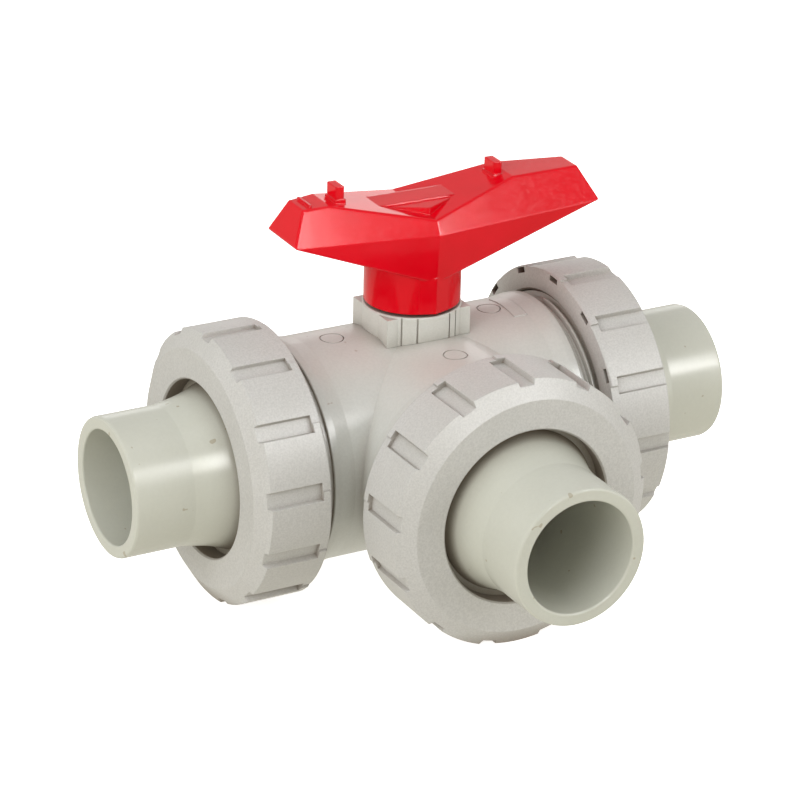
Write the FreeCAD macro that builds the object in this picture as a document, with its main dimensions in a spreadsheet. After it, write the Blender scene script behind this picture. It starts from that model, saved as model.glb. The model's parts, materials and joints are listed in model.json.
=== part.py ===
import FreeCAD, Part
import math
import os
import Sketcher
from FreeCAD import Placement, Rotation, Vector

# Three-way true-union ball valve, DN50, with plain spigot ends for 63 mm pipe.
# The run lies along X, the branch points along -Y and the stem along +Z.
# The origin is the ball's centre, where the three port axes and the stem axis meet.
# All sizes are in millimetres.

SIZES = {
    # ports and end connectors
    "end_reach": 149.4,            # ball centre to the end of each spigot
    "pipe_radius": 31.5,           # outside of a spigot
    "flow_radius": 25.7,           # clear way through a spigot
    "neck_radius": 37.3,           # thick part of the spigot inside the nut's hole
    "neck_end": 104.0,             # where the neck steps down
    "taper_start": 105.0,
    "taper_radius": 34.0,          # thick end of the slender taper outside the nut
    "taper_end": 121.5,            # crease where the plain pipe end begins
    "flange_radius": 46.9,         # collar on the spigot that the nut pulls on
    "flange_thick": 9.7,
    # union nut
    "nut_back": 71.55,             # ball centre to the nut's back rim
    "nut_radius": 62.4,
    "nut_front": 105.2,            # ball centre to the nut's front face
    "nut_shoulder": 5.2,           # length of the sloping front shoulder
    "nut_face_radius": 54.0,       # outer edge of the flat front face
    "nut_hole_radius": 40.1,
    "nut_cavity_radius": 47.6,     # room round the spigot's collar
    "nut_slots": 13,
    "slot_width": 8.2,
    "slot_depth": 2.6,
    "slot_slope": 0.7,             # how far a slot's side walls lean outward
    "grip_step": 0.9,              # drop of the outside on one side of every slot
    "slot_start": 75.6,            # ball centre to the closed end of a grip slot
    "window_width": 6.4,
    "window_height": 2.6,
    "window_depth": 3.2,
    "window_radius": 60.1,         # middle of a window in the back rim
    "window_turn": 5.0,            # degrees from a slot to the next window
    # large thread between housing and nut
    "thread_pitch": 4.0,
    "thread_root": 48.4,
    "thread_height": 2.0,
    "thread_gap": 0.4,             # clearance all round between the two threads
    "thread_crest_width": 0.9,
    "thread_base_width": 2.3,
    "thread_start": 69.2,          # centre of the first turn on the housing
    # housing
    "barrel_radius": 50.5,
    "bead_radius": 51.5,           # raised bead at each end of the barrel
    "flare_start": 54.0,           # where the barrel starts to swell towards the bead
    "bead_start": 61.0,
    "bead_end": 64.6,
    "relief_radius": 49.9,         # plain land between bead and thread
    "relief_end": 66.2,
    "housing_end": 87.5,
    "cavity_gap": 0.6,             # room round the ball
    "throat_radius": 33.5,         # way in for a seat carrier's nose
    "throat_end": 42.0,
    "carrier_bore": 41.7,
    "carrier_bore_end": 60.5,
    "carrier_thread_root": 43.7,
    "carrier_thread_height": 1.4,
    "carrier_thread_start": 64.0,
    "carrier_thread_length": 16.0,
    "mark_reach": 40.0,            # centre to each round port mark
    "mark_radius": 5.5,
    "mark_line": 0.5,
    "mark_depth": 0.6,
    "panel_start": 46.8,           # raised blank panel beside the right port mark
    "panel_end": 53.5,
    "panel_arc": 26.0,             # degrees it covers round the barrel
    "panel_rise": 0.3,
    # neck, stem and ball
    "neck_tube_radius": 17.0,
    "neck_top": 61.0,
    "stem_gap": 0.35,              # room between the stem and its bore
    "stem_radius": 12.0,
    "foot_ledge": 2.5,             # how far the foot stands out from the shaft
    "foot_gap": 0.8,
    "foot_lift": 1.4,              # ball's flat to the underside of the foot
    "foot_thick": 2.9,
    "washer_thick": 1.0,
    "stem_shoulder": 63.9,         # top of the round shaft
    "stem_top": 88.0,
    "stem_square": 14.0,
    "stem_groove_first": 50.4,
    "stem_groove_second": 55.4,
    "stem_groove_width": 2.6,
    "stem_groove_depth": 2.1,
    "stem_ring_section": 1.2,
    "ball_radius": 43.0,
    "ball_bore": 25.7,
    "ball_flat_depth": 1.2,        # flat on top of the ball
    "tang_width": 8.0,
    "tang_length": 23.6,
    "tang_depth": 4.2,             # how far the tang reaches into the ball
    "tang_gap": 0.1,
    # seats, carriers and rings
    "seat_gap": 0.05,              # running clearance between ball and seat
    "seat_outer": 30.2,
    "seat_back": 3.5,              # seat behind the line where the ball leaves its bore
    "seat_room": 0.2,              # clearance between a seat and its pocket
    "seat_ring_room": 2.6,
    "seat_ring_radius": 28.0,
    "seat_ring_section": 1.25,
    "nose_length": 5.0,            # carrier's nose beside the seat
    "carrier_nose": 33.0,
    "carrier_step": 42.3,
    "carrier_radius": 41.3,
    "carrier_end": 87.4,
    "carrier_ring_place": 47.6,
    "carrier_ring_groove": 3.2,
    "carrier_ring_root": 39.0,
    "carrier_ring_section": 1.32,
    "carrier_head": 83.5,          # plain head in front of the carrier's thread
    "carrier_head_radius": 43.4,
    "notch_radius": 39.0,
    "notch_width": 9.5,
    "notch_height": 5.0,
    "notch_depth": 6.0,
    "face_ring_radius": 33.5,
    "face_ring_section": 1.2,
    "face_groove_width": 3.4,
    "face_groove_depth": 2.45,
    # collar round the neck
    "collar_radius": 22.3,
    "collar_top": 61.8,
    "collar_length": 41.9,
    "collar_width": 32.0,
    "collar_corner_top": 61.0,
    "collar_hole": 17.3,
    "collar_gap": 0.05,
    "collar_slot": 0.7,
    "collar_slot_depth": 0.5,
    # handle
    "hub_radius": 21.7,
    "hub_bottom": 63.3,
    "hub_hollow": 18.4,
    "hub_hollow_top": 69.5,
    "socket_gap": 0.05,            # left over once the handle has leaned in its socket
    "socket_top": 88.6,
    "waist_height": 100.7,         # widest level of the handle
    "keel_height": 77.2,           # lowest line of the handle's hull
    "brow_height": 119.0,
    "dip_height": 107.0,           # bottom of the V in the top face
    "arm_short": 65.1,
    "arm_long": 86.7,
    "half_width_middle": 24.8,
    "half_width_end": 14.0,
    "side_lean": 0.54,            # inward lean of the upper sides
    "short_end_lean": 0.463,
    "long_end_lean": 0.547,
    "hull_lean": 0.11,             # inward lean of the lower sides
    "short_top_edge": 115.5,
    "short_top_bend": 46.0,
    "short_bend_height": 116.1,
    "long_top_edge": 114.9,
    "long_top_bend": 43.5,
    "long_bend_height": 117.1,
    "prow_half_width": 7.3,
    "prow_reach": 22.9,
    "pad_short": 20.5,
    "pad_long": 19.0,
    "pad_back": 7.5,
    "pad_front": 5.5,
    "pad_top": 111.0,
    "arrow_reach": 14.6,
    "arrow_top": 110.3,
    "peg_reach": 39.0,
    "peg_length": 4.0,
    "peg_width": 8.5,
    "peg_top": 122.4,
    "peg_foot": 0.6,
    "peg_foot_top": 116.6,
    "rib_short": 54.0,
    "rib_long": 50.5,
    "rib_width": 1.2,
    "rib_rise": 0.6,
    "edge_round": 1.2,             # rounding of the hull's edges
}

# Arms of the housing: name and turn about Z that carries +X onto the port's own direction.
ARMS = {"right": 0, "left": 180, "branch": -90}
# Degrees each nut has turned about its port when it is tight.
NUT_TURNS = {"right": 8.3, "left": 1.3, "branch": 0.3}
# Degrees the handle leans off the run within the play of its square socket.
HANDLE_TURN = -1.2
REAR_TURN = 90


class Dim:
    """A size that carries both its number and its spreadsheet formula."""

    def __init__(self, value, text):
        self.value = value
        self.text = text

    def __add__(self, other):
        other = as_dim(other)
        return Dim(self.value + other.value, f"({self.text} + {other.text})")

    def __sub__(self, other):
        other = as_dim(other)
        return Dim(self.value - other.value, f"({self.text} - {other.text})")

    def __mul__(self, other):
        other = as_dim(other)
        return Dim(self.value * other.value, f"({self.text} * {other.text})")

    def __truediv__(self, other):
        other = as_dim(other)
        return Dim(self.value / other.value, f"({self.text} / {other.text})")

    def root(self):
        return Dim(math.sqrt(self.value), f"sqrt({self.text})")

    def sine(self):
        return Dim(math.sin(self.value), f"sin({self.text} * 1 rad)")

    def cosine(self):
        return Dim(math.cos(self.value), f"cos({self.text} * 1 rad)")


def as_dim(value):
    return value if isinstance(value, Dim) else Dim(float(value), repr(float(value)))


def make_sheet(doc):
    """Write every driving size into the spreadsheet and return them by name."""
    sheet = doc.addObject("Spreadsheet::Sheet", "Sizes")
    for row, (name, value) in enumerate(SIZES.items(), 1):
        sheet.set(f"A{row}", name)
        sheet.set(f"B{row}", str(value))
        sheet.setAlias(f"B{row}", name)
    return {name: Dim(value, f"Sizes.{name}") for name, value in SIZES.items()}


doc = FreeCAD.newDocument("ThreeWayValve")
S = make_sheet(doc)
doc.recompute()

# Places that follow from the driving sizes.
ZERO = as_dim(0)
SEAT_SPHERE = S["ball_radius"] + S["seat_gap"]
SEAT_START = (SEAT_SPHERE * SEAT_SPHERE - S["seat_outer"] * S["seat_outer"]).root()
SEAT_END = (SEAT_SPHERE * SEAT_SPHERE - S["flow_radius"] * S["flow_radius"]).root() + S["seat_back"]
POCKET_RADIUS = S["seat_outer"] + S["seat_room"]
POCKET_END = SEAT_END + S["seat_ring_room"]
BALL_FLAT = S["ball_radius"] - S["ball_flat_depth"]
TANG_BOTTOM = BALL_FLAT - S["tang_depth"]
FOOT_BOTTOM = BALL_FLAT + S["foot_lift"]
FOOT_TOP = FOOT_BOTTOM + S["foot_thick"]
FOOT_RADIUS = S["stem_radius"] + S["foot_ledge"]
RECESS_TOP = FOOT_TOP + S["washer_thick"] + 0.1
STEM_BORE = S["stem_radius"] + S["stem_gap"]
RECESS_RADIUS = FOOT_RADIUS + S["foot_gap"]


def bind(obj, prop, dim):
    """Tie one property to a spreadsheet formula."""
    obj.setExpression(prop, as_dim(dim).text)


def new_body(name, turn=0):
    """Start a sub-part; turn swings it about Z from +X to its own port."""
    body = doc.addObject("PartDesign::Body", name)
    body.Label = name
    body.Placement = Placement(Vector(0, 0, 0), Rotation(Vector(0, 0, 1), turn))
    return body


def origin_plane(body, role):
    return next(item for item in body.Origin.OriginFeatures if item.Role == role)


def new_sketch(body, role, lift=0, turn=0, spin=0):
    """Sketch on an origin plane, lifted along its normal, turned about its Y or spun in its plane."""
    sketch = body.newObject("Sketcher::SketchObject", f"{body.Label}_sketch")
    sketch.AttachmentSupport = (origin_plane(body, role), [""])
    sketch.MapMode = "FlatFace"
    rotation = Rotation(Vector(0, 1, 0), turn) * Rotation(Vector(0, 0, 1), spin)
    sketch.AttachmentOffset = Placement(Vector(0, 0, as_dim(lift).value), rotation)
    if isinstance(lift, Dim):
        bind(sketch, "AttachmentOffset.Base.z", lift)
    return sketch


def tie_point(sketch, line, place, dim, axis):
    """Hold one sketch point at a signed distance from the sketch origin along X or Y."""
    dim = as_dim(dim)
    kind = f"Distance{axis}"
    if dim.value == 0:
        edge = -2 if axis == "X" else -1
        sketch.addConstraint(Sketcher.Constraint("PointOnObject", line, place, edge))
    elif dim.value > 0:
        index = sketch.addConstraint(Sketcher.Constraint(kind, -1, 1, line, place, dim.value))
        sketch.setExpression(f"Constraints[{index}]", dim.text)
    else:
        index = sketch.addConstraint(Sketcher.Constraint(kind, line, place, -1, 1, -dim.value))
        sketch.setExpression(f"Constraints[{index}]", f"0 - {dim.text}")


def add_polygon(sketch, points):
    """Closed outline whose corners are all tied to the spreadsheet."""
    corners = [Vector(as_dim(x).value, as_dim(y).value, 0) for x, y in points]
    first = None
    for index, corner in enumerate(corners):
        line = sketch.addGeometry(Part.LineSegment(corner, corners[(index + 1) % len(corners)]), False)
        first = line if first is None else first
    for index, (x, y) in enumerate(points):
        last = first + (index - 1) % len(points)
        sketch.addConstraint(Sketcher.Constraint("Coincident", last, 2, first + index, 1))
        tie_point(sketch, first + index, 1, x, "X")
        tie_point(sketch, first + index, 1, y, "Y")
    return sketch


def add_outline(sketch, points, bends):
    """Closed outline like a polygon, with some edges bent to an arc of a bound radius.

    bends gives, for the edge that starts at a corner, the radius and the side of its centre:
    1 when the centre lies to the left of the edge's direction, -1 when it lies to the right.
    """
    corners = [Vector(as_dim(x).value, as_dim(y).value, 0) for x, y in points]
    ends = []
    for index, start in enumerate(corners):
        stop = corners[(index + 1) % len(corners)]
        if index not in bends:
            ends.append((sketch.addGeometry(Part.LineSegment(start, stop), False), 1, 2))
            continue
        radius, side = bends[index]
        centre = arc_centre(start, stop, as_dim(radius).value, side)
        first, last = (start, stop) if side > 0 else (stop, start)
        angles = [math.atan2(point.y - centre.y, point.x - centre.x) for point in (first, last)]
        circle = Part.Circle(centre, Vector(0, 0, 1), as_dim(radius).value)
        arc = sketch.addGeometry(Part.ArcOfCircle(circle, angles[0], angles[1]), False)
        ends.append((arc, 1, 2) if side > 0 else (arc, 2, 1))
        bound = sketch.addConstraint(Sketcher.Constraint("Radius", arc, as_dim(radius).value))
        sketch.setExpression(f"Constraints[{bound}]", as_dim(radius).text)
    for index, (x, y) in enumerate(points):
        edge, start, _ = ends[index]
        previous, _, stop = ends[index - 1]
        sketch.addConstraint(Sketcher.Constraint("Coincident", previous, stop, edge, start))
        tie_point(sketch, edge, start, x, "X")
        tie_point(sketch, edge, start, y, "Y")
    return sketch


def arc_centre(start, stop, radius, side):
    """Centre of the shorter arc between two points, to the left of the chord when side is 1."""
    chord = stop - start
    middle = (start + stop) / 2
    rise = math.sqrt(radius ** 2 - (chord.Length / 2) ** 2)
    across = Vector(-chord.y, chord.x, 0) / chord.Length
    return middle + across * rise * side


def add_circle(sketch, x, y, radius):
    """Circle whose centre and radius are tied to the spreadsheet."""
    centre = Vector(as_dim(x).value, as_dim(y).value, 0)
    circle = sketch.addGeometry(Part.Circle(centre, Vector(0, 0, 1), as_dim(radius).value), False)
    index = sketch.addConstraint(Sketcher.Constraint("Radius", circle, as_dim(radius).value))
    sketch.setExpression(f"Constraints[{index}]", as_dim(radius).text)
    tie_point(sketch, circle, 3, x, "X")
    tie_point(sketch, circle, 3, y, "Y")
    return sketch


def add_feature(body, kind, sketch=None):
    feature = body.newObject(f"PartDesign::{kind}", f"{body.Label}_{kind.lower()}")
    if sketch is not None:
        feature.Profile = sketch
        sketch.Visibility = False
    return feature


def spin_profile(body, sketch, axis="H_Axis", kind="Revolution"):
    """Turn a profile right round the sketch's own axis, adding or cutting."""
    feature = add_feature(body, kind, sketch)
    feature.ReferenceAxis = (sketch, [axis])
    feature.Angle = 360
    body.Tip = feature
    return feature


def turned_ring(body, points, kind="Revolution", turn=0):
    """Revolve an outline of (distance along the port, radius) corners about the port axis."""
    return spin_profile(body, add_polygon(new_sketch(body, "XZ_Plane", turn=turn), points), kind=kind)


def upright_ring(body, points, kind="Revolution"):
    """Revolve an outline of (radius, height) corners about the stem axis."""
    return spin_profile(body, add_polygon(new_sketch(body, "XZ_Plane"), points), "V_Axis", kind)


def pad(body, sketch, length, kind="Pad", both=False, back=False):
    """Push a sketch along its normal by a bound length."""
    feature = add_feature(body, kind, sketch)
    bind(feature, "Length", length)
    feature.Midplane = both
    feature.Reversed = back
    body.Tip = feature
    return feature


def slab(half_x, half_y):
    """Corners of a rectangle centred on the origin."""
    minus_x, minus_y = ZERO - half_x, ZERO - half_y
    return [(minus_x, minus_y), (half_x, minus_y), (half_x, half_y), (minus_x, half_y)]


def box_between(low_x, high_x, low_y, high_y):
    return [(low_x, low_y), (high_x, low_y), (high_x, high_y), (low_x, high_y)]


def repeat_round(body, feature, count, axis="X_Axis"):
    """Repeat a cut all the way round an origin axis of the body."""
    pattern = body.newObject("PartDesign::PolarPattern", f"{body.Label}_round")
    pattern.Originals = [feature]
    pattern.Axis = (origin_plane(body, axis), [""])
    pattern.Angle = 360
    if isinstance(count, Dim):
        bind(pattern, "Occurrences", count)
    else:
        pattern.Occurrences = count
    body.Tip = pattern
    return pattern


def round_all(body, radius):
    """Round every edge the body has so far."""
    base = body.Tip
    feature = body.newObject("PartDesign::Fillet", f"{body.Label}_fillet")
    feature.Base = (base, ["Edge1"])
    feature.UseAllEdges = True
    bind(feature, "Radius", radius)
    body.Tip = feature
    return feature


def cut_sphere(body, radius, kind="SubtractiveSphere"):
    feature = body.newObject(f"PartDesign::{kind}", f"{body.Label}_sphere")
    bind(feature, "Radius", radius)
    body.Tip = feature
    return feature


def coil(body, middle, foot, tip, foot_width, tip_width, length, turn=0):
    """Right-handed thread ridge about the port axis, from foot radius to tip radius."""
    half_foot, half_tip = foot_width / 2, tip_width / 2
    outline = [(middle - half_foot, foot), (middle + half_foot, foot),
               (middle + half_tip, tip), (middle - half_tip, tip)]
    sketch = add_polygon(new_sketch(body, "XZ_Plane", turn=turn), outline)
    feature = add_feature(body, "AdditiveHelix", sketch)
    feature.ReferenceAxis = (sketch, ["H_Axis"])
    feature.Mode = 0
    bind(feature, "Pitch", S["thread_pitch"])
    bind(feature, "Height", length)
    feature.LeftHanded = False
    body.Tip = feature
    return feature


def rubber_ring(name, reach, radius, section, turn=0):
    """O-ring round a port axis."""
    body = new_body(name, turn)
    spin_profile(body, add_circle(new_sketch(body, "XZ_Plane"), reach, radius, section))
    return body


# --- sub-parts -----------------------------------------------------------------------------

def housing():
    """Three threaded barrels meeting at the middle, a neck for the stem, and all the bores."""
    body = new_body("housing")
    for turn in ARMS.values():
        turned_ring(body, [
            (0, 0), (S["housing_end"], 0), (S["housing_end"], S["thread_root"]),
            (S["relief_end"], S["thread_root"]), (S["relief_end"], S["relief_radius"]),
            (S["bead_end"], S["relief_radius"]), (S["bead_end"], S["bead_radius"] - 0.4),
            (S["bead_end"] - 0.4, S["bead_radius"]), (S["bead_start"], S["bead_radius"]),
            (S["flare_start"], S["barrel_radius"]), (0, S["barrel_radius"])], turn=turn)
    upright_ring(body, [(0, 0), (S["neck_tube_radius"], 0), (S["neck_tube_radius"], S["neck_top"]),
                        (0, S["neck_top"])])
    for turn in ARMS.values():
        marking(body, turn)
    panel = box_between(S["panel_start"], S["panel_end"], S["barrel_radius"] - 1,
                        S["barrel_radius"] + S["panel_rise"])
    feature = spin_profile(body, add_polygon(new_sketch(body, "XZ_Plane"), panel))
    bind(feature, "Angle", S["panel_arc"])
    feature.Midplane = True
    cut_sphere(body, S["ball_radius"] + S["cavity_gap"])
    for turn in ARMS.values():
        turned_ring(body, [
            (0, 0), (S["housing_end"] + 5, 0), (S["housing_end"] + 5, S["carrier_thread_root"]),
            (S["carrier_bore_end"], S["carrier_thread_root"]), (S["carrier_bore_end"], S["carrier_bore"]),
            (S["throat_end"], S["carrier_bore"]), (S["throat_end"], S["throat_radius"]),
            (0, S["throat_radius"])], "Groove", turn)
    turned_ring(body, [(0, 0), (POCKET_END, 0), (POCKET_END, POCKET_RADIUS), (0, POCKET_RADIUS)],
                "Groove", REAR_TURN)
    upright_ring(body, [(0, 0), (RECESS_RADIUS, 0), (RECESS_RADIUS, RECESS_TOP), (STEM_BORE, RECESS_TOP),
                        (STEM_BORE, S["neck_top"] + 2), (0, S["neck_top"] + 2)], "Groove")
    for turn in ARMS.values():
        coil(body, S["thread_start"], S["thread_root"] - 0.3, S["thread_root"] + S["thread_height"],
             S["thread_base_width"] + 0.2, S["thread_crest_width"], S["thread_pitch"] * 4, turn)
    for turn in ARMS.values():
        coil(body, S["carrier_thread_start"], S["carrier_thread_root"] + 0.3,
             S["carrier_thread_root"] - S["carrier_thread_height"],
             S["thread_base_width"] - 0.3, S["thread_crest_width"], S["carrier_thread_length"], turn)
    return body


def marking(body, turn):
    """Engraved round port mark on top of one barrel."""
    sketch = new_sketch(body, "XY_Plane", lift=S["barrel_radius"] - S["mark_depth"], spin=turn)
    for radius in (S["mark_radius"], S["mark_radius"] - S["mark_line"]):
        add_circle(sketch, S["mark_reach"], 0, radius)
    pad(body, sketch, S["mark_depth"] + 2, "Pocket", back=True)


def neck_collar():
    """Loose collar with four corner lugs that sits on the barrels round the neck."""
    body = new_body("neck_collar")
    low = S["barrel_radius"] - 12
    upright_ring(body, [(0, low), (S["collar_radius"], low), (S["collar_radius"], S["collar_top"] - 0.6),
                        (S["collar_radius"] - 0.6, S["collar_top"]), (0, S["collar_top"])])
    corners = slab(S["collar_length"] / 2, S["collar_width"] / 2)
    pad(body, add_polygon(new_sketch(body, "XY_Plane", lift=low), corners), S["collar_corner_top"] - low)
    upright_ring(body, [(0, 0), (S["collar_hole"], 0), (S["collar_hole"], S["collar_top"] + 2),
                        (0, S["collar_top"] + 2)], "Groove")
    reach = S["barrel_radius"] + S["collar_gap"]
    for turn in ARMS.values():
        turned_ring(body, [(0, 0), (S["collar_length"], 0), (S["collar_length"], reach), (0, reach)],
                    "Groove", turn)
    slot = box_between(S["collar_radius"] - S["collar_slot_depth"], S["collar_radius"] + 9,
                       ZERO - S["collar_slot"] / 2, S["collar_slot"] / 2)
    for spin in (-130, -112, -70, -58, 50, 70, 112, 130):
        sketch = add_polygon(new_sketch(body, "XY_Plane", lift=low - 2, spin=spin), slot)
        pad(body, sketch, S["collar_top"] - low + 4, "Pocket", back=True)
    return body


def ball():
    """T-bored ball with a flat and a slot for the stem's tang on top."""
    body = new_body("ball")
    cut_sphere(body, S["ball_radius"], "AdditiveSphere")
    long = S["ball_radius"] + 5
    minus = ZERO - long
    turned_ring(body, [(minus, 0), (long, 0), (long, S["ball_bore"]), (minus, S["ball_bore"])], "Groove")
    turned_ring(body, [(0, 0), (long, 0), (long, S["ball_bore"]), (0, S["ball_bore"])],
                "Groove", ARMS["branch"])
    flat = add_polygon(new_sketch(body, "XY_Plane", lift=BALL_FLAT), slab(long, long))
    pad(body, flat, 5, "Pocket", back=True)
    slot = slab(S["tang_length"] / 2 + S["tang_gap"], S["tang_width"] / 2 + S["tang_gap"])
    sketch = add_polygon(new_sketch(body, "XY_Plane", lift=TANG_BOTTOM - S["tang_gap"]), slot)
    pad(body, sketch, 10, "Pocket", back=True)
    return body


def stem():
    """Anti-blowout stem: tang, foot, two ring grooves and a square end for the handle."""
    body = new_body("stem")
    outline = [(0, FOOT_BOTTOM), (FOOT_RADIUS, FOOT_BOTTOM), (FOOT_RADIUS, FOOT_TOP),
               (S["stem_radius"], FOOT_TOP)]
    root = S["stem_radius"] - S["stem_groove_depth"]
    for groove in (S["stem_groove_first"], S["stem_groove_second"]):
        outline += [(S["stem_radius"], groove), (root, groove), (root, groove + S["stem_groove_width"]),
                    (S["stem_radius"], groove + S["stem_groove_width"])]
    outline += [(S["stem_radius"], S["stem_shoulder"]), (0, S["stem_shoulder"])]
    upright_ring(body, outline)
    tang = slab(S["tang_length"] / 2, S["tang_width"] / 2)
    pad(body, add_polygon(new_sketch(body, "XY_Plane", lift=TANG_BOTTOM), tang),
        FOOT_BOTTOM - TANG_BOTTOM + 0.5)
    square = slab(S["stem_square"] / 2, S["stem_square"] / 2)
    pad(body, add_polygon(new_sketch(body, "XY_Plane", lift=S["stem_shoulder"] - 0.5), square),
        S["stem_top"] - S["stem_shoulder"] + 0.5)
    return body


def stem_rings():
    """Two rubber rings and a plain thrust washer on the stem."""
    for name, groove in (("stem_ring_lower", S["stem_groove_first"]),
                         ("stem_ring_upper", S["stem_groove_second"])):
        body = new_body(name)
        middle = groove + S["stem_groove_width"] / 2
        radius = S["stem_radius"] - S["stem_groove_depth"] + S["stem_ring_section"]
        sketch = add_circle(new_sketch(body, "XZ_Plane"), radius, middle, S["stem_ring_section"])
        spin_profile(body, sketch, "V_Axis")
    washer = new_body("thrust_washer")
    upright_ring(washer, box_between(STEM_BORE, RECESS_RADIUS - 0.3, FOOT_TOP + 0.1, RECESS_TOP))


def seat(name, turn):
    """Ball seat ring with a hollow face that fits the ball."""
    body = new_body(name, turn)
    turned_ring(body, box_between(SEAT_START, SEAT_END, S["flow_radius"], S["seat_outer"]))
    cut_sphere(body, SEAT_SPHERE)
    middle = SEAT_END + S["seat_ring_section"] + 0.05
    ring_name = name.replace("seat", "seat_ring")
    rubber_ring(ring_name, middle, S["seat_ring_radius"], S["seat_ring_section"], turn)


def carrier(arm, turn):
    """Threaded carrier that presses a seat on the ball, with its two rings."""
    body = new_body(f"carrier_{arm}", turn)
    nose = SEAT_END - S["nose_length"]
    groove = S["carrier_ring_groove"] / 2
    place = S["carrier_ring_place"]
    root = S["carrier_thread_root"] - S["carrier_thread_height"] - 0.4
    turned_ring(body, [
        (nose, POCKET_RADIUS), (POCKET_END, POCKET_RADIUS),
        (POCKET_END, S["flow_radius"]), (S["carrier_end"], S["flow_radius"]),
        (S["carrier_end"], S["face_ring_radius"] - S["face_groove_width"] / 2),
        (S["carrier_end"] - S["face_groove_depth"], S["face_ring_radius"] - S["face_groove_width"] / 2),
        (S["carrier_end"] - S["face_groove_depth"], S["face_ring_radius"] + S["face_groove_width"] / 2),
        (S["carrier_end"], S["face_ring_radius"] + S["face_groove_width"] / 2),
        (S["carrier_end"], S["carrier_head_radius"]), (S["carrier_head"], S["carrier_head_radius"]),
        (S["carrier_head"], root), (S["carrier_bore_end"], root),
        (S["carrier_bore_end"], S["carrier_radius"]), (place + groove, S["carrier_radius"]),
        (place + groove, S["carrier_ring_root"]), (place - groove, S["carrier_ring_root"]),
        (place - groove, S["carrier_radius"]), (S["carrier_step"], S["carrier_radius"]),
        (S["carrier_step"], S["carrier_nose"]), (nose, S["carrier_nose"])])
    half = S["notch_width"] / 2
    low = S["notch_radius"] - S["notch_height"] / 2
    notch = box_between(ZERO - half, half, low, low + S["notch_height"] * 3)
    sketch = add_polygon(new_sketch(body, "YZ_Plane", lift=S["carrier_end"] - S["notch_depth"]), notch)
    pad(body, sketch, S["notch_depth"] + 1, "Pocket", back=True)
    repeat_round(body, body.Tip, 2)
    coil(body, S["carrier_thread_start"] + S["thread_pitch"] / 2, root - 0.3,
         root + S["carrier_thread_height"] - 0.3, S["thread_base_width"] - 0.7,
         S["thread_crest_width"] - 0.1, S["carrier_thread_length"] - 2)
    rubber_ring(f"carrier_ring_{arm}", place, S["carrier_ring_root"] + S["carrier_ring_section"] + 0.02,
                S["carrier_ring_section"], turn)
    rubber_ring(f"face_ring_{arm}", S["carrier_end"] - S["face_groove_depth"] + S["face_ring_section"] + 0.02,
                S["face_ring_radius"], S["face_ring_section"], turn)


def spigot(arm, turn):
    """End connector with a flange for the nut, a thick neck, a slender taper and a plain pipe end."""
    flange_end = S["housing_end"] + S["flange_thick"]
    turned_ring(new_body(f"spigot_{arm}", turn), [
        (S["housing_end"], S["flow_radius"]), (S["end_reach"] - 0.8, S["flow_radius"]),
        (S["end_reach"], S["flow_radius"] + 0.8), (S["end_reach"], S["pipe_radius"] - 1.2),
        (S["end_reach"] - 1.2, S["pipe_radius"]), (S["taper_end"], S["pipe_radius"]),
        (S["taper_start"], S["taper_radius"]), (S["neck_end"], S["neck_radius"]),
        (flange_end, S["neck_radius"]), (flange_end, S["flange_radius"]),
        (S["housing_end"], S["flange_radius"])])


def nut(arm, turn):
    """Union nut with grip slots, windows in its back rim and the large internal thread."""
    body = new_body(f"nut_{arm}", turn)
    major = S["thread_root"] + S["thread_height"] + S["thread_gap"]
    lip = S["housing_end"] + S["flange_thick"] + 0.1
    turned_ring(body, [
        (S["nut_back"], major + 1), (S["nut_back"] + 1, major), (S["housing_end"] + 0.3, major),
        (S["housing_end"] + 1.3, S["nut_cavity_radius"]), (lip, S["nut_cavity_radius"]),
        (lip, S["nut_hole_radius"]), (S["nut_front"] - 0.7, S["nut_hole_radius"]),
        (S["nut_front"], S["nut_hole_radius"] + 0.7), (S["nut_front"], S["nut_face_radius"]),
        (S["nut_front"] - S["nut_shoulder"], S["nut_radius"]),
        (S["nut_back"] + 0.8, S["nut_radius"]), (S["nut_back"], S["nut_radius"] - 0.8)])
    spin = NUT_TURNS[arm]
    grip_steps(body, spin)
    grip_slots(body, spin)
    half = S["window_width"] / 2
    low = S["window_radius"] - S["window_height"] / 2
    window = box_between(ZERO - half, half, low, low + S["window_height"])
    sketch = new_sketch(body, "YZ_Plane", lift=S["nut_back"] - 1, spin=spin - SIZES["window_turn"])
    pad(body, add_polygon(sketch, window), S["window_depth"] + 1, "Pocket", back=True)
    repeat_round(body, body.Tip, S["nut_slots"])
    gap = S["thread_gap"]
    tip = S["thread_root"] + gap
    width = S["thread_pitch"] - gap * 2.2
    base_width = width - S["thread_crest_width"] - 0.25
    tip_width = width - S["thread_base_width"] - 0.1
    start = S["thread_start"] + S["thread_pitch"] * 1.5
    coil(body, start, major + 0.3, tip, base_width, tip_width, S["thread_pitch"] * 2)
    return body


def grip_steps(body, spin):
    """Shave the outside so that it falls away gently from one slot to the next, like a ratchet."""
    radius = S["nut_radius"]
    low = radius - S["grip_step"]
    turn = Dim(2 * math.pi / S["nut_slots"].value, f"(2 * pi / {S['nut_slots'].text})")
    reach, rise = radius * turn.sine(), radius * turn.cosine()
    outline = [(0, low), (0, radius * 1.2), (ZERO - reach * 1.2, rise * 1.2 + 6), (ZERO - reach, rise)]
    sketch = add_outline(new_sketch(body, "YZ_Plane", lift=S["nut_back"] - 1, spin=spin), outline,
                         {3: (radius, -1)})
    pad(body, sketch, S["nut_front"] - S["nut_back"] + 2, "Pocket", back=True)
    repeat_round(body, body.Tip, S["nut_slots"])


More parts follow.
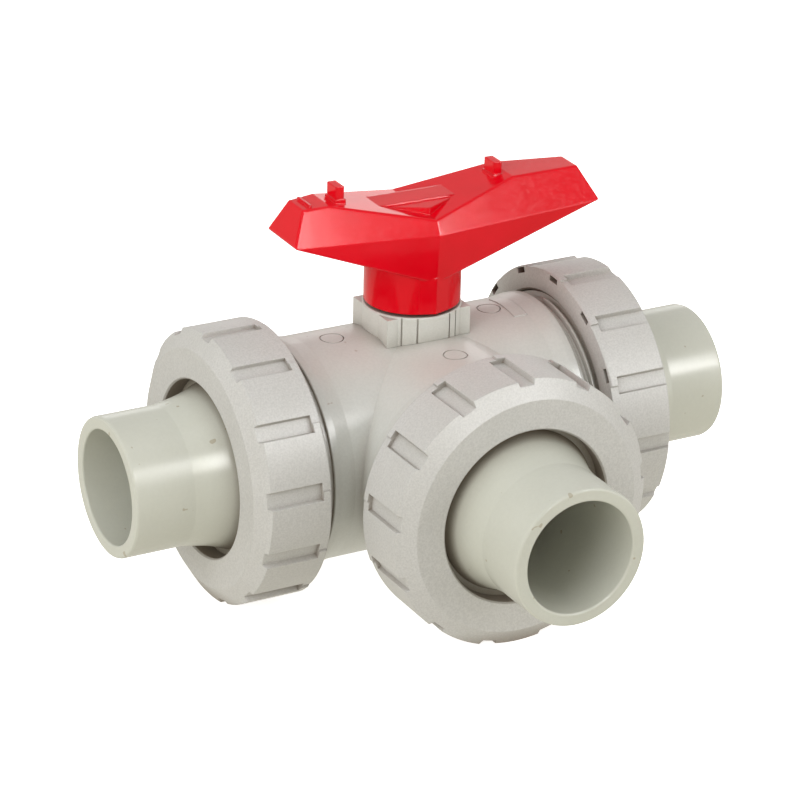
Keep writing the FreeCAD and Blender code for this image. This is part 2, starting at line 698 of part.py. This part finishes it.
def grip_slots(body, spin):
    """Grip slots that run out through the front shoulder and stop short of the back rim."""
    half = S["slot_width"] / 2
    floor = S["nut_radius"] - S["slot_depth"]
    lean = S["slot_slope"]
    outline = [(ZERO - half + lean, floor), (half - lean, floor), (half + lean, floor + S["slot_depth"] * 2),
               (ZERO - half - lean, floor + S["slot_depth"] * 2)]
    sketch = add_polygon(new_sketch(body, "YZ_Plane", lift=S["slot_start"], spin=spin), outline)
    pad(body, sketch, S["nut_front"] - S["slot_start"] + 1, "Pocket", back=True)
    repeat_round(body, body.Tip, S["nut_slots"])


def waist_outline(lift, inset_side, inset_short, inset_long):
    """Six corners of the handle's plan at one level, drawn in from the widest outline."""
    short = ZERO - (S["arm_short"] - inset_short)
    long = S["arm_long"] - inset_long
    middle = S["half_width_middle"] - inset_side
    slope_short = (S["half_width_middle"] - S["half_width_end"]) / S["arm_short"]
    slope_long = (S["half_width_middle"] - S["half_width_end"]) / S["arm_long"]
    end_short = S["half_width_end"] - inset_side + slope_short * inset_short
    end_long = S["half_width_end"] - inset_side + slope_long * inset_long
    return [(short, ZERO - end_short), (0, ZERO - middle), (long, ZERO - end_long),
            (long, end_long), (0, middle), (short, end_short)]


def loft(body, low, high):
    feature = body.newObject("PartDesign::AdditiveLoft", f"{body.Label}_loft")
    feature.Profile = low
    feature.Sections = [high]
    feature.Ruled = True
    body.Tip = feature
    return feature


def handle():
    """Two-armed handle with a V-shaped top, an arrow to the branch and two spanner pegs."""
    body = new_body("handle", HANDLE_TURN)
    level, keel, brow = S["waist_height"], S["keel_height"], S["brow_height"]
    rise, drop = brow - level, level - keel
    waist = waist_outline(level, ZERO, ZERO, ZERO)
    top = waist_outline(brow, S["side_lean"] * rise, S["short_end_lean"] * rise, S["long_end_lean"] * rise)
    foot = waist_outline(keel, S["hull_lean"] * drop, ZERO, ZERO)
    loft(body, add_polygon(new_sketch(body, "XY_Plane", lift=keel), foot),
         add_polygon(new_sketch(body, "XY_Plane", lift=level), waist))
    loft(body, add_polygon(new_sketch(body, "XY_Plane", lift=level), waist),
         add_polygon(new_sketch(body, "XY_Plane", lift=brow), top))
    far = S["arm_long"] + 20
    short_top = S["arm_short"] - S["short_end_lean"] * rise
    above = [
        (ZERO - far, S["short_top_edge"]), (ZERO - short_top, S["short_top_edge"]),
        (ZERO - S["short_top_bend"], S["short_bend_height"]), (0, S["dip_height"]),
        (S["long_top_bend"], S["long_bend_height"]), (far, S["long_top_edge"]),
        (far, brow + 5), (ZERO - far, brow + 5)]
    pad(body, add_polygon(new_sketch(body, "XZ_Plane"), above), 80, "Pocket", both=True)
    below = [
        (ZERO - far, keel - 5), (far, keel - 5), (far, level), (S["arm_long"], level), (0, keel),
        (ZERO - S["arm_short"], level), (ZERO - far, level)]
    pad(body, add_polygon(new_sketch(body, "XZ_Plane"), below), 80, "Pocket", both=True)
    round_all(body, S["edge_round"])
    hub = add_circle(new_sketch(body, "XY_Plane", lift=S["hub_bottom"]), 0, 0, S["hub_radius"])
    pad(body, hub, S["waist_height"] - S["hub_bottom"])
    half, reach = S["prow_half_width"], S["prow_reach"]
    prow = [(ZERO - half, reach - 2.4), (0, reach), (half, reach - 2.4),
            (half, ZERO - (reach - 2.4)), (0, ZERO - reach), (ZERO - half, ZERO - (reach - 2.4))]
    pad(body, add_polygon(new_sketch(body, "XY_Plane", lift=S["hub_bottom"]), prow),
        S["keel_height"] - S["hub_bottom"] + 3)
    arrow_pad = box_between(ZERO - S["pad_short"], S["pad_long"], ZERO - S["pad_front"], S["pad_back"])
    pad(body, add_polygon(new_sketch(body, "XY_Plane", lift=level), arrow_pad), S["pad_top"] - level)
    arrow = [(ZERO - S["pad_short"] + 1.5, ZERO - S["pad_front"]), (0, ZERO - S["arrow_reach"]),
             (S["pad_long"] - 1.5, ZERO - S["pad_front"]), (0, 0)]
    pad(body, add_polygon(new_sketch(body, "XY_Plane", lift=level), arrow), S["arrow_top"] - level)
    for side in (-1, 1):
        place = S["peg_reach"] * side
        for grow, top in ((ZERO, S["peg_top"]), (S["peg_foot"], S["peg_foot_top"])):
            half_x, half_y = S["peg_length"] / 2 + grow, S["peg_width"] / 2 + grow
            outline = box_between(place - half_x, place + half_x, ZERO - half_y, half_y)
            pad(body, add_polygon(new_sketch(body, "XY_Plane", lift=level), outline), top - level)
    for place in (ZERO - S["rib_short"], S["rib_long"]):
        half_x = S["rib_width"] / 2
        top = S["short_bend_height"] + S["rib_rise"]
        outline = box_between(place - half_x, place + half_x, ZERO - 6, as_dim(6))
        pad(body, add_polygon(new_sketch(body, "XY_Plane", lift=level), outline), top - level)
    hollow = add_circle(new_sketch(body, "XY_Plane", lift=S["hub_bottom"] - 1), 0, 0, S["hub_hollow"])
    pad(body, hollow, S["hub_hollow_top"] - S["hub_bottom"] + 1, "Pocket", back=True)
    lean = math.radians(abs(HANDLE_TURN))
    half = S["stem_square"] / 2 * (math.cos(lean) + math.sin(lean)) + S["socket_gap"]
    socket = add_polygon(new_sketch(body, "XY_Plane", lift=S["hub_bottom"]), slab(half, half))
    pad(body, socket, S["socket_top"] - S["hub_bottom"], "Pocket", back=True)
    return body


def build():
    housing()
    neck_collar()
    ball()
    stem()
    stem_rings()
    handle()
    seat("seat_rear", REAR_TURN)
    for arm, turn in ARMS.items():
        seat(f"seat_{arm}", turn)
        carrier(arm, turn)
        spigot(arm, turn)
        nut(arm, turn)


def export():
    """Check every sub-part and write it as one STEP file."""
    os.makedirs("parts", exist_ok=True)
    bodies = [item for item in doc.Objects if item.TypeId == "PartDesign::Body"]
    for item in doc.Objects:
        if "Invalid" in item.State or "Error" in item.State:
            raise RuntimeError(f"{item.Label} did not build")
    for body in bodies:
        if body.Shape.isNull() or not body.Shape.isValid():
            raise RuntimeError(f"{body.Label} has no valid shape")
        body.Shape.exportStep(f"parts/{body.Label}.step")


build()
doc.recompute()
export()
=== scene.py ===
import json
import math

import bpy
from mathutils import Matrix, Vector


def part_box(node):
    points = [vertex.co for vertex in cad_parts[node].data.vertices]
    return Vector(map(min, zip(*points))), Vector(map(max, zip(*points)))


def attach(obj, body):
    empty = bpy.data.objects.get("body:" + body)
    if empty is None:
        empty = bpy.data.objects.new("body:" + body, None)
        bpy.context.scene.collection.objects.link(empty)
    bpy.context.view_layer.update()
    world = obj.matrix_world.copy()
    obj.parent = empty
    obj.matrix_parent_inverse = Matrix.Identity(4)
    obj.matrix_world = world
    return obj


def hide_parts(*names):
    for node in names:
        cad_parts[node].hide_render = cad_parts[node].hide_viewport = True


# The three way valve as in a product photograph: pale polypropylene with a glossy red handle,
# on a white sweep under large soft lights. The row frame is in metres.

CAMERA_AZIMUTH = -29.42      # degrees; 0 looks along +Y
CAMERA_ELEVATION = 23.78
CAMERA_ROLL = 1.49
CAMERA_DISTANCE = 1.6035
CAMERA_TARGET = Vector((-0.0012, 0.0061, 0.0107))
CAMERA_LENS = 159.7
MM = 0.001
PAINTED_SHADE_COLOUR = (0.16, 0.115, 0.075)     # painted shade: warm dark colour laid into gaps and threads where shade falls
PAINTED_SHADE_STRENGTH = 0.85
PAINTED_SHADE_OPENNESS = (0.15, 0.80)    # full painted shade at the first openness, none at the second
MIX_FIRST, MIX_SECOND, MIX_RESULT = 6, 7, 2     # colour sockets of a mix node
LIGHT_DISTANCE = 1.4

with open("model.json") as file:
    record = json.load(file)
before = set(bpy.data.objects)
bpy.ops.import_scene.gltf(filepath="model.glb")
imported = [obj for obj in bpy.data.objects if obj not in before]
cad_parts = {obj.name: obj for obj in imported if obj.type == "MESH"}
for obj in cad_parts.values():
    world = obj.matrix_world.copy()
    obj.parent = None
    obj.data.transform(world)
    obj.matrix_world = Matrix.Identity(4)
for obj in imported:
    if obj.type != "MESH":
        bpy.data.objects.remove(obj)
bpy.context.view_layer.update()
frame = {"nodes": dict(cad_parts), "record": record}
NODES = frame["nodes"]


# --- material helpers ----------------------------------------------------------------------

class Graph:
    """Short way to build one material's node tree."""

    def __init__(self, name):
        self.material = bpy.data.materials.new(name)
        self.material.use_nodes = True
        self.tree = self.material.node_tree
        self.shader = self.tree.nodes["Principled BSDF"]
        place = self.node("ShaderNodeTexCoord")
        self.where = place.outputs["Object"]

    def node(self, kind, **settings):
        made = self.tree.nodes.new(kind)
        for name, value in settings.items():
            if name in made.inputs:
                made.inputs[name].default_value = value
            else:
                setattr(made, name, value)
        return made

    def link(self, source, target):
        self.tree.links.new(source, target)

    def noise(self, size, detail=3.0, stretch=(1, 1, 1), rough=0.55):
        """Noise whose blobs are about size metres across."""
        mapping = self.node("ShaderNodeMapping")
        mapping.inputs["Scale"].default_value = stretch
        self.link(self.where, mapping.inputs["Vector"])
        texture = self.node("ShaderNodeTexNoise")
        texture.inputs["Scale"].default_value = 1.0 / size
        texture.inputs["Detail"].default_value = detail
        texture.inputs["Roughness"].default_value = rough
        self.link(mapping.outputs["Vector"], texture.inputs["Vector"])
        return texture.outputs["Fac"]

    def range(self, value, low, high, to_low=0.0, to_high=1.0):
        """Map low..high of a value to another range, clamped."""
        made = self.node("ShaderNodeMapRange")
        made.inputs["From Min"].default_value = low
        made.inputs["From Max"].default_value = high
        made.inputs["To Min"].default_value = to_low
        made.inputs["To Max"].default_value = to_high
        self.link(value, made.inputs["Value"])
        return made.outputs["Result"]

    def mix(self, factor, first, second):
        """Mix two colours; each may be a tuple or a socket."""
        made = self.node("ShaderNodeMix", data_type="RGBA")
        self.link(factor, made.inputs["Factor"])
        for socket, value in ((made.inputs[MIX_FIRST], first), (made.inputs[MIX_SECOND], second)):
            if isinstance(value, tuple):
                socket.default_value = (*value, 1.0)
            else:
                self.link(value, socket)
        return made.outputs[MIX_RESULT]

    def bump(self, height, distance, strength=1.0, under=None):
        """Bump of a real height in metres, laid over another normal."""
        made = self.node("ShaderNodeBump")
        made.inputs["Strength"].default_value = strength
        made.inputs["Distance"].default_value = distance
        self.link(height, made.inputs["Height"])
        if under is not None:
            self.link(under, made.inputs["Normal"])
        return made.outputs["Normal"]

    def soft_edges(self, radius, samples=6):
        """Rounded edges, as moulded plastic has, of a real radius in metres."""
        made = self.node("ShaderNodeBevel", samples=samples)
        made.inputs["Radius"].default_value = radius
        return made.outputs["Normal"]

    def openness(self, reach, samples=8):
        """How open a place is to its surroundings within reach metres: 0 in a crevice, 1 in the open."""
        made = self.node("ShaderNodeAmbientOcclusion", samples=samples)
        made.inputs["Distance"].default_value = reach
        return made.outputs["AO"]


def moulded(name, colour, shade, rough, grain, edge, gloss=0.5, mottle=0.12, wave=0.00003, speck=None,
            gap=0.014):
    """Injection-moulded plastic: slow colour drift, fine grain, faint sink marks, soft edges, painted shade
    in gaps.
    """
    grain_size, grain_depth = grain
    g = Graph(name)
    drift = g.range(g.noise(0.045, 2.0), 0.35, 0.65)
    base = g.mix(drift, shade, colour)
    fine = g.range(g.noise(grain_size, 2.0), 0.35, 0.65, 0.0, mottle)
    tinted = g.mix(fine, base, tuple(c * 0.6 for c in shade))
    if speck is not None:
        spots = g.range(g.noise(0.0042, 1.0, rough=0.3), 0.775, 0.79, 0.0, 0.6)
        tinted = g.mix(spots, tinted, speck)
    # painted shade: places that ambient occlusion finds closed in are darkened towards a warm brown
    shaded_gaps = g.range(g.openness(gap), *PAINTED_SHADE_OPENNESS, PAINTED_SHADE_STRENGTH, 0.0)
    g.link(g.mix(shaded_gaps, tinted, PAINTED_SHADE_COLOUR), g.shader.inputs["Base Color"])
    wear = g.range(g.noise(0.03, 2.0), 0.3, 0.7, rough - 0.02, rough + 0.03)
    g.link(wear, g.shader.inputs["Roughness"])
    g.shader.inputs["Specular IOR Level"].default_value = gloss
    g.shader.inputs["Subsurface Weight"].default_value = 0.06
    g.shader.inputs["Subsurface Radius"].default_value = (1.0, 0.9, 0.7)
    g.shader.inputs["Subsurface Scale"].default_value = 0.0015
    normal = g.soft_edges(edge)
    normal = g.bump(g.noise(0.03, 1.0), wave, 1.0, normal)
    normal = g.bump(g.noise(grain_size, 2.0), grain_depth, 1.0, normal)
    g.link(normal, g.shader.inputs["Normal"])
    return g.material


def glossy_red():
    """Handle: deep red under a clear moulded skin, with faint flow marks and fine scuffs."""
    g = Graph("handle_red")
    drift = g.range(g.noise(0.03, 3.0), 0.35, 0.65)
    base = g.mix(drift, (0.70, 0.0, 0.007), (0.77, 0.0002, 0.010))
    g.link(base, g.shader.inputs["Base Color"])
    scuffs = g.range(g.noise(0.0022, 4.0, (1.0, 3.0, 0.5)), 0.42, 0.62, 0.12, 0.19)
    g.link(scuffs, g.shader.inputs["Roughness"])
    g.shader.inputs["Specular IOR Level"].default_value = 0.18
    g.shader.inputs["Coat Weight"].default_value = 0.12
    g.shader.inputs["Coat Roughness"].default_value = 0.08
    normal = g.soft_edges(0.0010, 8)
    normal = g.bump(g.noise(0.012, 2.0), 0.00006, 1.0, normal)
    normal = g.bump(g.noise(0.0012, 2.0), 0.000004, 1.0, normal)
    g.link(normal, g.shader.inputs["Normal"])
    return g.material


def rubber():
    """Moulded black rubber with a dull bloom."""
    g = Graph("rubber_black")
    bloom = g.range(g.noise(0.006, 4.0), 0.4, 0.7)
    g.link(g.mix(bloom, (0.012, 0.012, 0.012), (0.035, 0.034, 0.033)), g.shader.inputs["Base Color"])
    g.link(g.range(g.noise(0.003, 3.0), 0.3, 0.7, 0.42, 0.62), g.shader.inputs["Roughness"])
    g.link(g.bump(g.noise(0.0006, 2.0), 0.00002), g.shader.inputs["Normal"])
    return g.material


def waxy_white():
    """Turned PTFE with a faint cloudy tone."""
    g = Graph("ptfe")
    cloud = g.range(g.noise(0.012, 2.0), 0.35, 0.65)
    g.link(g.mix(cloud, (0.78, 0.78, 0.75), (0.86, 0.86, 0.84)), g.shader.inputs["Base Color"])
    g.link(g.range(g.noise(0.004, 3.0), 0.3, 0.7, 0.34, 0.48), g.shader.inputs["Roughness"])
    g.shader.inputs["Subsurface Weight"].default_value = 0.15
    g.shader.inputs["Subsurface Scale"].default_value = 0.002
    g.link(g.bump(g.noise(0.0007, 1.0), 0.000015, 1.0, g.soft_edges(0.0003, 4)), g.shader.inputs["Normal"])
    return g.material


# --- materials of the object ---------------------------------------------------------------

MATERIALS = {
    "housing_plastic": moulded("housing_plastic", (0.63, 0.64, 0.60), (0.60, 0.605, 0.56), 0.33,
                               (0.0012, 0.000006), 0.0006, speck=(0.42, 0.36, 0.30)),
    "collar_plastic": moulded("collar_plastic", (0.70, 0.70, 0.65), (0.66, 0.66, 0.61), 0.34,
                              (0.0010, 0.000006), 0.0004),
    "nut_plastic": moulded("nut_plastic", (0.60, 0.59, 0.565), (0.57, 0.56, 0.53), 0.46,
                           (0.0008, 0.00004), 0.0007, 0.38, 0.30),
    "spigot_plastic": moulded("spigot_plastic", (0.60, 0.605, 0.53), (0.57, 0.575, 0.50), 0.24,
                              (0.0016, 0.000003), 0.0005, 0.32, 0.05, speck=(0.36, 0.30, 0.20),
                              gap=0.018),
    "ball_plastic": moulded("ball_plastic", (0.42, 0.41, 0.37), (0.38, 0.37, 0.33), 0.22,
                            (0.0015, 0.000003), 0.0004, mottle=0.05),
    "stem_plastic": moulded("stem_plastic", (0.58, 0.58, 0.54), (0.54, 0.54, 0.50), 0.36,
                            (0.0008, 0.00001), 0.0003),
    "handle_red": glossy_red(),
    "rubber_black": rubber(),
    "ptfe": waxy_white(),
}


def dress_nodes():
    """Give each CAD node the material of its slot in the record."""
    for entry in frame["record"]["subparts"]:
        node = NODES[entry["node"]]
        node.data.materials.clear()
        node.data.materials.append(MATERIALS[entry["material_slot"]])


dress_nodes()


# --- spigots -------------------------------------------------------------------------------
# Sizes in millimetres; places are distances along the port from the ball's centre.

PORTS = {"right": 0, "left": 180, "branch": -90}     # degrees about Z from +X to the port
TAIL_START = 87.5
FLANGE_END = 97.2
NECK = 98.0             # where the thick neck inside the nut begins to thin out
CREASE = 121.5          # where the plain pipe end begins
TAIL_END = 149.4
BORE_RADIUS = 25.7
PIPE_RADIUS = 31.5
NECK_RADIUS = 37.3
FLANGE_RADIUS = 46.9
FLANGE_CHAMFER = 0.5
CONE_RISE = 3.0         # radius that the slight cone adds by itself


def flare(steps=16):
    """Outline of the neck from the crease inward: a slight cone that swells into the thick neck."""
    points = []
    for i in range(steps + 1):
        t = i / steps
        radius = PIPE_RADIUS + CONE_RISE * t + (NECK_RADIUS - PIPE_RADIUS - CONE_RISE) * t ** 3
        points.append((CREASE + (NECK - CREASE) * t, radius))
    return points


def tail_outline():
    """Closed outline of (distance along the port, radius), up the bore and back along the skin."""
    bore = [(TAIL_START, BORE_RADIUS), (TAIL_END - 0.8, BORE_RADIUS),
            (TAIL_END - 0.3, BORE_RADIUS + 0.2), (TAIL_END, BORE_RADIUS + 0.8)]
    end = [(TAIL_END, PIPE_RADIUS - 1.0), (TAIL_END - 0.3, PIPE_RADIUS - 0.3), (TAIL_END - 1.2, PIPE_RADIUS)]
    rim = FLANGE_RADIUS - FLANGE_CHAMFER
    flange = [(FLANGE_END, NECK_RADIUS), (FLANGE_END, rim), (FLANGE_END - FLANGE_CHAMFER, FLANGE_RADIUS),
              (TAIL_START + FLANGE_CHAMFER, FLANGE_RADIUS), (TAIL_START, rim)]
    return bore + end + flare() + flange


def lathe(name, outline, turn, around=256):
    """Closed mesh of an outline turned about its port, with crisp edges only where it really bends."""
    verts, faces = [], []
    spin = Matrix.Rotation(math.radians(turn), 4, "Z")
    for i in range(around):
        angle = 2 * math.pi * i / around
        for along, radius in outline:
            spot = Vector((along, radius * math.cos(angle), radius * math.sin(angle)))
            verts.append(spin @ (spot * MM))
    count = len(outline)
    for i in range(around):
        here, there = i * count, (i + 1) % around * count
        for j in range(count):
            k = (j + 1) % count
            faces.append((here + j, there + j, there + k, here + k))
    mesh = bpy.data.meshes.new(name)
    mesh.from_pydata(verts, [], faces)
    mesh.validate()
    mesh.shade_smooth()
    mesh.set_sharp_from_angle(angle=math.radians(3))
    made = bpy.data.objects.new(name, mesh)
    bpy.context.scene.collection.objects.link(made)
    return made


def spigots():
    """The three spigots with the smooth swell of the neck into the nut's hole."""
    for arm, turn in PORTS.items():
        tail = lathe(f"tail_piece_{arm}", tail_outline(), turn)
        tail.data.materials.append(MATERIALS["spigot_plastic"])
        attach(tail, f"tail_{arm}")
        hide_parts(f"spigot_{arm}")


spigots()


# --- stage ---------------------------------------------------------------------------------

def backdrop():
    """White sweep under the valve."""
    low = min(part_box(name)[0].z for name in NODES)
    mesh = bpy.data.meshes.new("sweep")
    side = 4.0
    corners = [(-side, -side, low), (side, -side, low), (side, side, low), (-side, side, low)]
    mesh.from_pydata(corners, [], [(0, 1, 2, 3)])
    sweep = bpy.data.objects.new("sweep", mesh)
    bpy.context.scene.collection.objects.link(sweep)
    g = Graph("sweep_white")
    tone = g.range(g.noise(0.4, 2.0), 0.3, 0.7)
    g.link(g.mix(tone, (0.93, 0.93, 0.93), (0.95, 0.95, 0.95)), g.shader.inputs["Base Color"])
    g.shader.inputs["Roughness"].default_value = 0.9
    g.shader.inputs["Specular IOR Level"].default_value = 0.1
    g.shader.inputs["Emission Color"].default_value = (1, 1, 1, 1)
    g.shader.inputs["Emission Strength"].default_value = 0.80
    mesh.materials.append(g.material)
    sweep.visible_diffuse = False
    sweep.visible_glossy = False


def outward(azimuth, elevation):
    """Unit vector from the valve towards a compass direction; azimuth 0 is -Y."""
    a, e = math.radians(azimuth), math.radians(elevation)
    return Vector((math.sin(a) * math.cos(e), -math.cos(a) * math.cos(e), math.sin(e)))


def softbox(name, azimuth, elevation, distance, width, height, power, only_shine=False):
    """Area light that faces the valve from a compass direction; a card that only shines lights nothing."""
    light = bpy.data.lights.new(name, "AREA")
    light.shape = "RECTANGLE"
    light.size, light.size_y = width, height
    light.energy = power
    lamp = bpy.data.objects.new(name, light)
    bpy.context.scene.collection.objects.link(lamp)
    away = outward(azimuth, elevation)
    lamp.location = away * distance
    lamp.rotation_euler = away.to_track_quat("Z", "Y").to_euler()
    lamp.visible_diffuse = not only_shine


def studio_walls():
    """Even grey surroundings overhead that turn brighter and warmer towards the table."""
    world = bpy.data.worlds.new("studio")
    world.use_nodes = True
    tree = world.node_tree
    place = tree.nodes.new("ShaderNodeTexCoord")
    parts = tree.nodes.new("ShaderNodeSeparateXYZ")
    ramp = tree.nodes.new("ShaderNodeMapRange")
    tree.links.new(place.outputs["Generated"], parts.inputs["Vector"])
    tree.links.new(parts.outputs["Z"], ramp.inputs["Value"])
    for name, value in (("From Min", -0.4), ("From Max", 0.8), ("To Min", 0.0), ("To Max", 1.0)):
        ramp.inputs[name].default_value = value
    blend = tree.nodes.new("ShaderNodeMix")
    blend.data_type = "RGBA"
    blend.inputs[MIX_FIRST].default_value = (0.82, 0.79, 0.70, 1.0)
    blend.inputs[MIX_SECOND].default_value = (0.58, 0.58, 0.58, 1.0)
    tree.links.new(ramp.outputs["Result"], blend.inputs["Factor"])
    tree.links.new(blend.outputs[MIX_RESULT], tree.nodes["Background"].inputs["Color"])
    tree.nodes["Background"].inputs["Strength"].default_value = 1.0
    bpy.context.scene.world = world


def lighting():
    studio_walls()
    softbox("key", -66, 26, LIGHT_DISTANCE, 0.8, 0.8, 7.5)
    softbox("top", -20, 76, LIGHT_DISTANCE, 1.2, 0.9, 3.5)
    softbox("side", 50, 8, 1.6, 0.75, 0.85, 5.5)
    softbox("card_left", -5, 33, LIGHT_DISTANCE, 0.42, 0.50, 13, only_shine=True)
    softbox("card_right", 33, 30, LIGHT_DISTANCE, 0.34, 0.50, 18, only_shine=True)
    softbox("card_back", 150, 10, 1.5, 0.9, 0.40, 1.4, only_shine=True)


def camera():
    """Camera at the photograph's own direction, with its slight roll."""
    away = outward(CAMERA_AZIMUTH, CAMERA_ELEVATION)
    data = bpy.data.cameras.new("camera")
    data.lens = CAMERA_LENS
    data.sensor_width = 36
    view = bpy.data.objects.new("camera", data)
    bpy.context.scene.collection.objects.link(view)
    turn = away.to_track_quat("Z", "Y").to_matrix().to_4x4()
    roll = Matrix.Rotation(math.radians(CAMERA_ROLL), 4, "Z")
    view.matrix_world = Matrix.Translation(CAMERA_TARGET + away * CAMERA_DISTANCE) @ turn @ roll
    bpy.context.scene.camera = view


backdrop()
lighting()
camera()
bpy.context.scene.view_settings.view_transform = "Standard"
